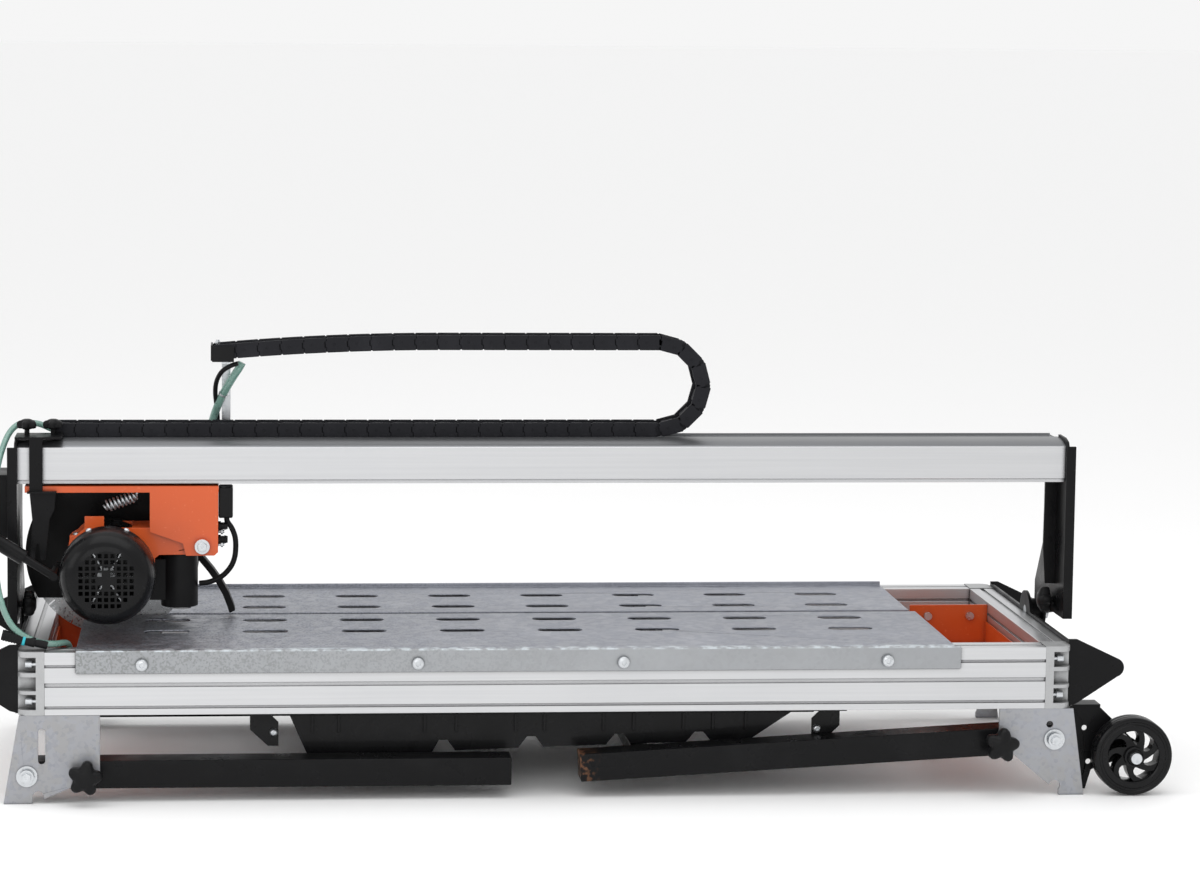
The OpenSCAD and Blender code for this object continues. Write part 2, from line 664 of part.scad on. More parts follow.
front_rail();
rear_rail();
left_end_rail();
right_end_rail();
corner_castings();
frame_screws();
cross_bars();
front_table();
rear_table();
inner_trays();
left_end_bracket();
right_end_bracket();
tilt_bolts();
left_feet();
right_feet();
leg_bolts();
wheel_brackets();
water_tray();
tray_hangers();
pump();
water_hose();
front_wheel();
rear_wheel();
left_legs();
right_legs();
front_left_knob();
rear_left_knob();
front_right_knob();
rear_right_knob();
beam();
left_post();
right_post();
control_box();
power_switch();
left_tilt_knob();
right_tilt_knob();
chain_lower();
chain_bend();
chain_upper();
carriage_plate();
trolley();
left_wheelset();
right_wheelset();
carriage_strap();
left_clamp_knob();
right_clamp_knob();
chain_strut();
switch_box();
feed_hose();
motor_cable();
lift_spring();
motor_arm();
motor_body();
fan_cover();
capacitor_box();
blade_guard();
pull_handle();
blade();
blade_flanges();
motor_shaft();
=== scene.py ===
import json
import math

import bmesh
import bpy
from mathutils import Matrix, Vector

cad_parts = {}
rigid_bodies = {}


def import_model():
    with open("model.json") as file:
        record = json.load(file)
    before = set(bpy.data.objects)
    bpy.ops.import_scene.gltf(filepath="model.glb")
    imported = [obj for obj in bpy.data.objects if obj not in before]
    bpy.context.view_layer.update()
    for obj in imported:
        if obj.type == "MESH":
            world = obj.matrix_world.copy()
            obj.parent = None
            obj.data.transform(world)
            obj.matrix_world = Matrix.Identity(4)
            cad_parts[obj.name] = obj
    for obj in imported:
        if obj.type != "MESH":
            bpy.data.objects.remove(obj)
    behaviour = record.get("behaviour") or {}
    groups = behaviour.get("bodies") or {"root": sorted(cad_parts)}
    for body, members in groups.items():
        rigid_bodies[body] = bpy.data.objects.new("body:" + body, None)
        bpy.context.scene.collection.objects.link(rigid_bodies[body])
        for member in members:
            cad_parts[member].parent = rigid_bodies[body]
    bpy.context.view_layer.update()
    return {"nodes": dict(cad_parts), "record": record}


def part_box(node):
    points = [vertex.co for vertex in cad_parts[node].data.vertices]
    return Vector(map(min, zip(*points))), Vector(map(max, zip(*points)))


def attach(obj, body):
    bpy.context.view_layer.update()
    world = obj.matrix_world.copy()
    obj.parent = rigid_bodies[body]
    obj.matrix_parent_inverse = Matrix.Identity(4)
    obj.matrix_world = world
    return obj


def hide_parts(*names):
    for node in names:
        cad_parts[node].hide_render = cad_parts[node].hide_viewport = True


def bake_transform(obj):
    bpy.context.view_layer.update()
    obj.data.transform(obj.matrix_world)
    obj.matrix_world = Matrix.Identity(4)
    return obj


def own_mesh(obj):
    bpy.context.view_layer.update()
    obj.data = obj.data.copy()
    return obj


for leftover in list(bpy.data.objects):
    bpy.data.objects.remove(leftover)
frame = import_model()

MM = 0.001
FRAME_SHIFT = 33.5  # millimetres from the frame's own zero to the model's middle
X, Y, Z = Vector((1, 0, 0)), Vector((0, 1, 0)), Vector((0, 0, 1))
SIDES = 40


def mm(x, y, z):
    """A point from millimetres, X from the frame's own zero."""
    return Vector(((x - FRAME_SHIFT) * MM, y * MM, z * MM))


# ---------------------------------------------------------------- materials

class Shader:
    """A material's node tree, with short names for the nodes used here."""

    def __init__(self, name, colour, rough, metal=0.0):
        self.material = bpy.data.materials.new(name)
        self.material.use_nodes = True
        self.nodes = self.material.node_tree.nodes
        self.links = self.material.node_tree.links
        self.bsdf = self.nodes["Principled BSDF"]
        self.bsdf.inputs["Base Color"].default_value = (*colour, 1)
        self.bsdf.inputs["Roughness"].default_value = rough
        self.bsdf.inputs["Metallic"].default_value = metal
        self.material.diffuse_color = (*colour, 1)
        self.where = self.nodes.new("ShaderNodeTexCoord").outputs["Object"]

    def stretched(self, scale):
        node = self.nodes.new("ShaderNodeMapping")
        node.inputs["Scale"].default_value = scale
        self.links.new(self.where, node.inputs["Vector"])
        return node.outputs["Vector"]

    def noise(self, scale, detail=4.0, stretch=(1, 1, 1)):
        node = self.nodes.new("ShaderNodeTexNoise")
        node.inputs["Scale"].default_value = scale
        node.inputs["Detail"].default_value = detail
        self.links.new(self.stretched(stretch), node.inputs["Vector"])
        return node.outputs["Fac"]

    def cells(self, scale, stretch=(1, 1, 1)):
        node = self.nodes.new("ShaderNodeTexVoronoi")
        node.inputs["Scale"].default_value = scale
        self.links.new(self.stretched(stretch), node.inputs["Vector"])
        grey = self.nodes.new("ShaderNodeRGBToBW")
        self.links.new(node.outputs["Color"], grey.inputs["Color"])
        return grey.outputs["Val"]

    def axis(self, letter):
        node = self.nodes.new("ShaderNodeSeparateXYZ")
        self.links.new(self.where, node.inputs["Vector"])
        return node.outputs[letter]

    def spread(self, value, low, high, out_low=0.0, out_high=1.0):
        node = self.nodes.new("ShaderNodeMapRange")
        limits = {"From Min": low, "From Max": high, "To Min": out_low, "To Max": out_high}
        for key, number in limits.items():
            node.inputs[key].default_value = number
        self.links.new(value, node.inputs["Value"])
        return node.outputs["Result"]

    def times(self, a, b):
        node = self.nodes.new("ShaderNodeMath")
        node.operation = "MULTIPLY"
        self.links.new(a, node.inputs[0])
        self.links.new(b, node.inputs[1])
        return node.outputs[0]

    def tint(self, mask, colour):
        """Mixes another colour over the base, where the mask is 1."""
        base = self.bsdf.inputs["Base Color"]
        node = self.nodes.new("ShaderNodeMix")
        node.data_type = "RGBA"
        if base.is_linked:
            self.links.new(base.links[0].from_socket, node.inputs[6])
        else:
            node.inputs[6].default_value = base.default_value
        node.inputs[7].default_value = (*colour, 1)
        self.links.new(mask, node.inputs[0])
        self.links.new(node.outputs[2], base)

    def paint_crevice_shade(self, depth, colour, amount=0.9):
        """Paints shade into grooves and inner corners up to that depth: an ambient occlusion mask tints the
        base colour darker.
        """
        node = self.nodes.new("ShaderNodeAmbientOcclusion")
        node.inputs["Distance"].default_value = depth
        node.samples = 6
        # painted shade: the occlusion mask darkens the base colour in grooves and corners, where shade falls
        self.tint(self.spread(node.outputs["AO"], 0.45, 0.92, amount, 0.0), colour)

    def roughen(self, value, low, high):
        self.links.new(self.spread(value, 0.3, 0.7, low, high), self.bsdf.inputs["Roughness"])

    def bump(self, value, strength, distance=0.0005):
        node = self.nodes.new("ShaderNodeBump")
        node.inputs["Strength"].default_value = strength
        node.inputs["Distance"].default_value = distance
        self.links.new(value, node.inputs["Height"])
        if self.bsdf.inputs["Normal"].is_linked:
            self.links.new(self.bsdf.inputs["Normal"].links[0].from_socket, node.inputs["Normal"])
        self.links.new(node.outputs["Normal"], self.bsdf.inputs["Normal"])


def anodised(name, stretch):
    """Silver anodising with drawn lines along the profile and painted shade in the grooves."""
    s = Shader(name, (0.62, 0.625, 0.635), 0.34, 0.85)
    lines = s.noise(260, 3, stretch)
    smudge = s.noise(5, 4)
    s.tint(s.spread(lines, 0.35, 0.75, 0.0, 0.35), (0.50, 0.505, 0.52))
    s.tint(s.spread(smudge, 0.5, 0.8, 0.0, 0.25), (0.54, 0.55, 0.57))
    # painted shade: near black in the grooves and inner corners of the profiles
    s.paint_crevice_shade(0.007, (0.06, 0.06, 0.065), 1.0)
    s.roughen(smudge, 0.30, 0.42)
    s.bump(lines, 0.10, 0.0002)
    return s


def beam_metal(top):
    """The beam's metal, with a darker grey band along its top edge."""
    s = anodised("anodised_beam", (0.01, 1, 1))
    band = s.spread(s.axis("Z"), top - 0.0092, top - 0.0088)
    s.tint(band, (0.22, 0.225, 0.235))
    return s.material


def cast_metal():
    s = Shader("cast_aluminium", (0.46, 0.465, 0.47), 0.5, 0.8)
    grain = s.noise(420, 5)
    s.tint(s.spread(s.noise(30, 4), 0.45, 0.75, 0, 0.5), (0.30, 0.305, 0.31))
    # painted shade: darker grey in the castings' hollows and inner corners
    s.paint_crevice_shade(0.012, (0.10, 0.10, 0.10))
    s.roughen(grain, 0.42, 0.62)
    s.bump(grain, 0.35)
    return s.material


def galvanised(name, left, right, colour=(0.275, 0.285, 0.325), face=None):
    """Bluish zinc coating with spangle. Dark mottling fades out from left to right along X.

    face is the Y of a folded front flange, which gets a warmer face and a scuffed fold."""
    s = Shader(name, colour, 0.36, 0.72)
    spangle = s.cells(85, (1, 1.25, 1))
    fine = s.cells(210)
    cloud = s.noise(9, 6)
    s.tint(s.spread(spangle, 0.25, 0.8, 0, 0.5), (0.38, 0.395, 0.445))
    s.tint(s.spread(fine, 0.55, 0.9, 0, 0.35), (0.22, 0.235, 0.26))
    s.tint(s.spread(cloud, 0.5, 0.72, 0, 0.5), (0.40, 0.415, 0.46))
    end = s.spread(s.axis("X"), right, left, 0.0, 1.0)
    speck = s.spread(s.noise(330, 7), 0.50, 0.56, 0, 0.8)
    s.tint(s.times(speck, end), (0.10, 0.11, 0.12))
    if face is not None:
        depth = s.axis("Y")
        s.tint(s.spread(depth, face + 0.0024, face + 0.0012, 0, 0.45), (0.42, 0.43, 0.41))
        fold = s.times(s.spread(depth, face + 0.017, face + 0.008), s.spread(s.noise(75, 6), 0.42, 0.6))
        top = s.spread(s.axis("Z"), 0.2175, 0.2185)
        s.tint(s.times(fold, top), (0.60, 0.65, 0.68))
    # painted shade: darker zinc in slots, folds and inner corners
    s.paint_crevice_shade(0.004, (0.08, 0.085, 0.09), 0.7)
    s.roughen(spangle, 0.34, 0.52)
    s.bump(fine, 0.12, 0.0003)
    s.bump(cloud, 0.10, 0.002)
    return s.material


def orange_coat():
    s = Shader("orange_coat", (0.64, 0.094, 0.014), 0.38)
    peel = s.noise(600, 3)
    s.tint(s.spread(s.noise(14, 5), 0.5, 0.8, 0, 0.4), (0.48, 0.07, 0.015))
    s.tint(s.spread(s.noise(190, 5), 0.66, 0.72, 0, 0.35), (0.80, 0.22, 0.09))
    s.roughen(s.noise(20, 4), 0.28, 0.44)
    s.bump(peel, 0.12, 0.0002)
    # painted shade: a dark orange in the panel's corners and recesses
    s.paint_crevice_shade(0.01, (0.30, 0.04, 0.01), 0.6)
    s.bsdf.inputs["Coat Weight"].default_value = 0.15
    return s.material


def dark_coat(name, colour, low, high, grain=500, bump=0.15, dust=0.35, coat=0.0):
    """Black paint or plastic: fine grain, with a dusty lighter cast in places."""
    s = Shader(name, colour, high)
    pale = tuple(min(1, c * 1.9 + 0.004) for c in colour)
    s.tint(s.spread(s.noise(16, 5), 0.5, 0.8, 0, dust), pale)
    s.tint(s.spread(s.noise(240, 5), 0.64, 0.72, 0, dust), pale)
    s.roughen(s.noise(28, 4), low, high)
    s.bump(s.noise(grain, 3), bump, 0.0003)
    s.bsdf.inputs["Specular IOR Level"].default_value = 0.13
    s.bsdf.inputs["Coat Weight"].default_value = coat
    return s.material


def worn_leg(left_end):
    """Satin black tube whose cut left end has begun to rust."""
    s = Shader("leg_black", (0.006, 0.006, 0.0065), 0.3)
    s.bsdf.inputs["Specular IOR Level"].default_value = 0.13
    s.tint(s.spread(s.noise(18, 5), 0.5, 0.8, 0, 0.3), (0.016, 0.016, 0.017))
    near = s.spread(s.axis("X"), left_end + 0.03, left_end, 0, 1)
    rust = s.spread(s.noise(120, 6), 0.47, 0.56, 0, 1)
    s.tint(s.times(near, rust), (0.16, 0.075, 0.04))
    s.roughen(s.noise(26, 4), 0.22, 0.38)
    s.bump(s.noise(380, 3), 0.1, 0.0002)
    return s.material


def bright_zinc():
    s = Shader("zinc", (0.62, 0.64, 0.66), 0.28, 0.9)
    marks = s.noise(180, 5)
    s.tint(s.spread(marks, 0.5, 0.75, 0, 0.5), (0.42, 0.44, 0.46))
    s.roughen(s.noise(60, 4), 0.2, 0.42)
    s.bump(marks, 0.12, 0.0002)
    return s.material


def clear_hose():
    s = Shader("green_hose", (0.21, 0.39, 0.33), 0.28)
    s.tint(s.spread(s.noise(40, 4), 0.45, 0.75, 0, 0.5), (0.34, 0.52, 0.46))
    s.roughen(s.noise(55, 4), 0.2, 0.36)
    s.bump(s.noise(220, 3), 0.08, 0.0003)
    s.bsdf.inputs["Transmission Weight"].default_value = 0.35
    s.bsdf.inputs["Coat Weight"].default_value = 0.4
    return s.material


def ground_steel():
    s = Shader("blade_steel", (0.55, 0.56, 0.57), 0.3, 0.95)
    grain = s.noise(300, 4, (1, 0.1, 1))
    s.tint(s.spread(s.noise(24, 5), 0.5, 0.75, 0, 0.5), (0.36, 0.365, 0.37))
    s.roughen(grain, 0.22, 0.42)
    s.bump(grain, 0.15, 0.0002)
    return s.material


def coloured(name, colour, low, high):
    s = Shader(name, colour, high)
    s.tint(s.spread(s.noise(45, 4), 0.45, 0.8, 0, 0.4), tuple(c * 0.6 for c in colour))
    s.roughen(s.noise(70, 4), low, high)
    s.bump(s.noise(400, 3), 0.1, 0.0002)
    return s.material


def make_materials():
    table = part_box("front_table")
    mottled_to = table[0].x + 0.62 * (table[1].x - table[0].x)
    off_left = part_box("left_feet")[0].x - 2
    return {
        "frame_aluminium": anodised("anodised_rail", (0.01, 1, 1)).material,
        "end_aluminium": anodised("anodised_end", (1, 0.01, 1)).material,
        "beam_aluminium": beam_metal(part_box("beam")[1].z),
        "cast_aluminium": cast_metal(),
        "galvanised_sheet": galvanised("galvanised_table", table[0].x, mottled_to, face=table[0].y),
        "foot_sheet": galvanised("galvanised_feet", off_left, off_left + 1, (0.34, 0.34, 0.345)),
        "zinc_fasteners": bright_zinc(),
        "orange_paint": orange_coat(),
        "black_paint": dark_coat("black_coat", (0.006, 0.006, 0.0065), 0.24, 0.40),
        "black_plastic": dark_coat("black_plastic", (0.008, 0.008, 0.0085), 0.32, 0.48, 700, 0.25),
        "tray_plastic": dark_coat("tray_plastic", (0.006, 0.006, 0.0065), 0.22, 0.36, 520, 0.2, 0.25, 0.1),
        "wheel_plastic": dark_coat("wheel_plastic", (0.005, 0.005, 0.0055), 0.18, 0.34, 300, 0.08, 0.3, 0.12),
        "chain_plastic": dark_coat("chain_plastic", (0.013, 0.0132, 0.016), 0.42, 0.6, 800, 0.3, 0.5),
        "motor_black": dark_coat("motor_black", (0.004, 0.004, 0.0045), 0.22, 0.34, 420, 0.12, 0.15, 0.08),
        "hose_green": clear_hose(),
        "cable_black": dark_coat("cable_black", (0.008, 0.008, 0.0085), 0.4, 0.56, 600, 0.2),
        "switch_red": coloured("switch_red", (0.42, 0.02, 0.02), 0.2, 0.34),
        "cyan_ring": coloured("cyan_ring", (0.02, 0.42, 0.50), 0.25, 0.4),
        "leg_black": worn_leg(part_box("right_legs")[0].x),
        "blade_steel": ground_steel(),
    }


# ---------------------------------------------------------------- shapes

def mesh_object(name, bm, material, smooth=35.0):
    bmesh.ops.recalc_face_normals(bm, faces=bm.faces)
    data = bpy.data.meshes.new(name)
    bm.to_mesh(data)
    bm.free()
    obj = bpy.data.objects.new(name, data)
    bpy.context.collection.objects.link(obj)
    data.materials.append(LOOK[material])
    for polygon in data.polygons:
        polygon.use_smooth = True
    data.set_sharp_from_angle(angle=math.radians(smooth))
    return obj


def rounded(obj, width, segments=2, angle=30.0):
    """Small rounds on the sharp edges."""
    weld = obj.modifiers.new("joined", "WELD")
    weld.merge_threshold = 0.00001
    bevel = obj.modifiers.new("rounds", "BEVEL")
    bevel.width = width
    bevel.segments = segments
    bevel.limit_method = "ANGLE"
    bevel.angle_limit = math.radians(angle)
    shading = obj.modifiers.new("shading", "WEIGHTED_NORMAL")
    shading.weight = 50
    shading.keep_sharp = False


def frame_from(direction):
    """Turns +Z to the direction."""
    return direction.normalized().to_track_quat("Z", "Y").to_matrix().to_4x4()


def add_cylinder(bm, base, direction, length, radius, sides=SIDES, top=None):
    place = Matrix.Translation(base) @ frame_from(direction) @ Matrix.Translation((0, 0, length / 2))
    bmesh.ops.create_cone(bm, cap_ends=True, segments=sides, radius1=radius,
                          radius2=radius if top is None else top, depth=length, matrix=place)


def add_block(bm, lo, hi):
    lo, hi = Vector(lo), Vector(hi)
    size = hi - lo
    place = Matrix.Translation((lo + hi) / 2) @ Matrix.Diagonal((*size, 1))
    bmesh.ops.create_cube(bm, size=1, matrix=place)


def add_prism(bm, outline, near, far, make):
    """Extrudes an outline: make(u, v, depth) gives a point."""
    a = [bm.verts.new(make(u, v, near)) for u, v in outline]
    b = [bm.verts.new(make(u, v, far)) for u, v in outline]
    bm.faces.new(a)
    bm.faces.new(list(reversed(b)))
    for i in range(len(a)):
        j = (i + 1) % len(a)
        bm.faces.new((a[i], b[i], b[j], a[j]))


def add_lathe(bm, profile, centre, axis, sides=SIDES):
    """Turns a closed profile of (radius, height) round the axis."""
    place = Matrix.Translation(centre) @ frame_from(axis)
    rings = []
    for k in range(sides):
        a = math.tau * k / sides
        ring = [Vector((r * math.cos(a), r * math.sin(a), h)) for r, h in profile]
        rings.append([bm.verts.new(place @ point) for point in ring])
    for k in range(sides):
        here, there = rings[k], rings[(k + 1) % sides]
        for i in range(len(profile)):
            j = (i + 1) % len(profile)
            bm.faces.new((here[i], here[j], there[j], there[i]))


def smooth_path(points, rounds=3):
    """Cuts the corners of a path until it is one smooth curve."""
    for _ in range(rounds):
        cut = [points[0]]
        for a, b in zip(points, points[1:]):
            cut += [a * 0.75 + b * 0.25, a * 0.25 + b * 0.75]
        points = cut + [points[-1]]
    return points


def add_tube(bm, points, radius, sides=12):
    """A round tube along a path, with closed ends."""
    rings = []
    normal = None
    for i, p in enumerate(points):
        t = (points[min(i + 1, len(points) - 1)] - points[max(i - 1, 0)]).normalized()
        if normal is None:
            normal = t.orthogonal().normalized()
        normal = (normal - t * normal.dot(t)).normalized()
        side = t.cross(normal)
        angles = [math.tau * k / sides for k in range(sides)]
        rings.append([bm.verts.new(p + (normal * math.cos(a) + side * math.sin(a)) * radius) for a in angles])
    for here, there in zip(rings, rings[1:]):
        for k in range(sides):
            m = (k + 1) % sides
            bm.faces.new((here[k], here[m], there[m], there[k]))
    bm.faces.new(rings[0])
    bm.faces.new(list(reversed(rings[-1])))


def piece(name, body, material, build, bevel=0.0, smooth=35.0):
    """Builds a mesh with build(bm) and lets it ride a body."""
    bm = bmesh.new()
    build(bm)
    obj = mesh_object(name, bm, material, smooth)
    if bevel:
        rounded(obj, bevel)
    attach(obj, body)
    return obj


# ---------------------------------------------------------------- CAD nodes

NODE_LOOK = {
    "left_end_rail": "end_aluminium", "right_end_rail": "end_aluminium", "beam": "beam_aluminium",
    "cross_bars": "end_aluminium", "left_feet": "foot_sheet", "right_feet": "foot_sheet",
    "water_tray": "tray_plastic", "tray_hangers": "tray_plastic", "left_legs": "black_paint",
    "right_legs": "leg_black", "front_wheel": "wheel_plastic", "rear_wheel": "wheel_plastic",
}
SHARP = {"water_hose", "feed_hose", "motor_cable", "lift_spring", "chain_lower", "chain_bend", "chain_upper"}
BEVELS = {
    "water_tray": 0.0014, "control_box": 0.003, "switch_box": 0.003, "capacitor_box": 0.0025,
    "left_legs": 0.0019, "right_legs": 0.0019, "corner_castings": 0.0012, "beam": 0.0005,
    "front_table": 0.0010, "rear_table": 0.0010, "blade_guard": 0.0012, "fan_cover": 0.0006,
    "motor_body": 0.0006, "trolley": 0.001, "front_wheel": 0.0012, "rear_wheel": 0.0012,
    "power_switch": 0.0015, "blade": 0.0002, "pump": 0.004, "pull_handle": 0.002,
}


def dress_nodes():
    """Gives each CAD node its material and small rounds."""
    for row in frame["record"]["subparts"]:
        obj = frame["nodes"][row["node"]]
        obj.data.materials.clear()
        obj.data.materials.append(LOOK[NODE_LOOK.get(row["node"], row["material_slot"])])
        if row["node"] not in SHARP:
            rounded(obj, BEVELS.get(row["node"], 0.0006))


# ---------------------------------------------------------------- chain

LINK = 33 * MM
HALF_H = 11 * MM
HALF_W = 20 * MM
BEND_RADIUS = 65 * MM
UPPER_LINKS = 20
SAG_LENGTH = 318 * MM


def stadium(x0, x1, r, steps=8):
    """A bar's outline with a half circle at each end."""
    right = [(x1 + r * math.cos(a), r * math.sin(a))
             for a in [math.pi * (k / steps - 0.5) for k in range(steps + 1)]]
    left = [(x0 - r * math.cos(a), -r * math.sin(a))
            for a in [math.pi * (k / steps - 0.5) for k in range(steps + 1)]]
    return right + left


def link_outline(near, far, corner):
    """A side plate from near to far, with cut corners and a step where it laps the next link."""
    h = HALF_H
    return [(near + corner, -h), (far - corner * 0.4, -h), (far, -h + corner), (far, -h * 0.35),
            (far - 2.6 * MM, -h * 0.3), (far - 2.6 * MM, h * 0.45), (far, h * 0.5), (far, h - corner),
            (far - corner * 0.4, h), (near + corner, h), (near, h - corner), (near, h * 0.55),
            (near - 1.9 * MM, h * 0.5), (near - 1.9 * MM, -h * 0.25), (near, -h * 0.3), (near, -h + corner)]


def link_mesh():
    """One chain link along +X from its pin: lapped side plates, rounded inner ends, bars and dimples."""
    bm = bmesh.new()
    for side in (-1, 1):
        def make(u, v, depth, side=side):
            return Vector((u, side * depth, v))
        add_prism(bm, link_outline(1.0 * MM, LINK + 0.3 * MM, 1.4 * MM), HALF_W - 3.2 * MM, HALF_W, make)
        add_prism(bm, stadium(LINK * 0.5, LINK, HALF_H * 0.93), HALF_W - 6.4 * MM, HALF_W - 3.4 * MM, make)
        foot = [(LINK * 0.62, -HALF_H * 0.98), (LINK * 0.86, -HALF_H * 0.98),
                (LINK * 0.86, -HALF_H * 0.55), (LINK * 0.62, -HALF_H * 0.55)]
        add_prism(bm, foot, HALF_W - 0.5 * MM, HALF_W + 0.5 * MM, make)
        outward = Y * side
        hub = Vector((LINK * 0.36, 0, HALF_H * 0.1)) + outward * HALF_W
        ring = [(1.1 * MM, -0.3 * MM), (2.5 * MM, -0.3 * MM), (2.2 * MM, 0.45 * MM), (1.4 * MM, 0.45 * MM)]
        add_lathe(bm, ring, hub, outward, 14)
    for top in (-1, 1):
        z0, z1 = sorted((top * (HALF_H - 5.0 * MM), top * (HALF_H - 3.2 * MM)))
        add_block(bm, (LINK * 0.22, -HALF_W + 3 * MM, z0), (LINK * 0.72, HALF_W - 3 * MM, z1))
    data = bpy.data.meshes.new("link")
    bmesh.ops.recalc_face_normals(bm, faces=bm.faces)
    bm.to_mesh(data)
    bm.free()
    return data


def chain_of(name, places, node):
    """Joins a link at each place into one mesh that stands for the CAD run."""
    one = link_mesh()
    bm = bmesh.new()
    for place in places:
        before = len(bm.verts)
        bm.from_mesh(one)
        bm.verts.ensure_lookup_table()
        bmesh.ops.transform(bm, matrix=place, verts=bm.verts[before:])
    obj = mesh_object(name, bm, "chain_plastic", 30)
    bpy.data.meshes.remove(one)
    rounded(obj, 0.0004, 1)
    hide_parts(node)
    return obj


def chain_places():
    """Where each link goes in the lower run, the bend and the sagging upper run, and the bend's X."""
    lower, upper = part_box("chain_lower"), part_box("chain_upper")
    y = (lower[0].y + lower[1].y) / 2
    z = (lower[0].z + lower[1].z) / 2
    count = round((lower[1].x - lower[0].x) / LINK)
    pin = lower[0].x + 1 * MM
    low = [Matrix.Translation((pin + LINK * i, y, z)) for i in range(count)]
    end = pin + LINK * count + 3.5 * MM
    out, back = Matrix.Translation((0, 0, -BEND_RADIUS)), Matrix.Translation((1 * MM, 0, 0))
    tip = Matrix.Rotation(math.radians(-15), 4, "Y")
    curve = []
    for i in range(6):
        turn = Matrix.Rotation(math.radians(-30 * i), 4, "Y")
        curve.append(Matrix.Translation((end, y, z + BEND_RADIUS)) @ turn @ out @ tip @ back)
    top = z + 2 * BEND_RADIUS
    sag_from = end - SAG_LENGTH
    sag = top - HALF_H - upper[0].z - 0.4 * MM
    left = upper[0].x + 1 * MM

    def height(x):
        t = max(0.0, (sag_from - x) / (sag_from - left))
        return top - sag * t * t
    high = []
    for i in range(1, UPPER_LINKS + 1):
        x0 = end - LINK * i
        slope = math.atan2(height(x0 + LINK) - height(x0), LINK)
        high.append(Matrix.Translation((x0, y, height(x0))) @ Matrix.Rotation(-slope, 4, "Y"))
    return low, curve, high, end


def make_chain():
    low, curve, high, end = chain_places()
    lower = chain_of("chain_lower_look", low, "chain_lower")
    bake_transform(lower)
    middle = chain_of("chain_bend_look", curve, "chain_bend")
    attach(middle, "chain_loop")
    upper = chain_of("chain_upper_look", high, "chain_upper")
    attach(upper, "chain_loop")
    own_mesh(upper)


# ---------------------------------------------------------------- knobs and wheels

def add_knob(bm, base, axis, radius, height, lobes=5, turn=0.15):
    """A moulded star knob: lobed skirt, domed top and a collar below."""
    place = Matrix.Translation(base) @ frame_from(axis)
    profile = [(0.30, -0.12), (0.42, -0.10), (0.46, 0.0), (0.80, 0.0), (0.95, 0.06), (1.0, 0.2), (1.0, 0.55),
               (0.95, 0.72), (0.80, 0.84), (0.55, 0.92), (0.42, 1.0), (0.30, 1.04), (0.0, 1.05)]
    sides = 60
    rings = []
    for r, h in profile:
        ring = []
        for k in range(sides):
            a = math.tau * k / sides
            lobe = 0.5 + 0.5 * math.cos(lobes * (a - turn))
            depth = 0.30 * (1 - lobe) ** 1.3 if r > 0.6 else 0.0
            reach = radius * r * (1 - depth)
            point = Vector((reach * math.cos(a), reach * math.sin(a), h * height))
            ring.append(bm.verts.new(place @ point) if r > 0 else None)
        rings.append(ring)
    tip = bm.verts.new(place @ Vector((0, 0, profile[-1][1] * height)))
    for here, there in zip(rings[:-2], rings[1:-1]):
        for k in range(sides):
            m = (k + 1) % sides
            bm.faces.new((here[k], here[m], there[m], there[k]))
    for k in range(sides):
        bm.faces.new((rings[-2][k], rings[-2][(k + 1) % sides], tip))
    bm.faces.new(list(reversed(rings[0])))


def knob_look(node, axis, radius, stud_radius):
    """A rounded knob with a threaded stud in place of the CAD knob. Its head is at the axis's end."""
    lo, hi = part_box(node)
    centre = (lo + hi) / 2
    along = abs((hi - lo).dot(axis))
    far = centre + axis * (along / 2)
    height = radius * 0.86
    base = far - axis * (height * 1.05)

    def build(bm):
        add_knob(bm, base, axis, radius, height)
        rings = 9
        tail = along - height * 1.05
        for i in range(rings):
            start = base - axis * (tail * (i + 1) / rings)
            add_cylinder(bm, start, axis, tail / rings * 0.55, stud_radius, 16)
        add_cylinder(bm, base - axis * tail, axis, tail, stud_radius * 0.86, 16)
    obj = piece(node + "_look", node, "black_plastic", build, 0, 50)
    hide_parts(node)


def make_knobs():
    for side, axis in (("front", -Y), ("rear", Y)):
        for end in ("left", "right"):
            knob_look(f"{side}_{end}_knob", axis, 25 * MM, 4.9 * MM)
    knob_look("left_clamp_knob", Z, 15 * MM, 3.9 * MM)
    knob_look("right_clamp_knob", Z, 15 * MM, 3.9 * MM)
    knob_look("left_tilt_knob", X, 20 * MM, 4.9 * MM)
    knob_look("right_tilt_knob", -X, 20 * MM, 4.9 * MM)


SPOKES = 7
SPOKE_STEPS = 6
TYRE_RADIUS = 57  # the radius that the tyre's profile is drawn for, in millimetres


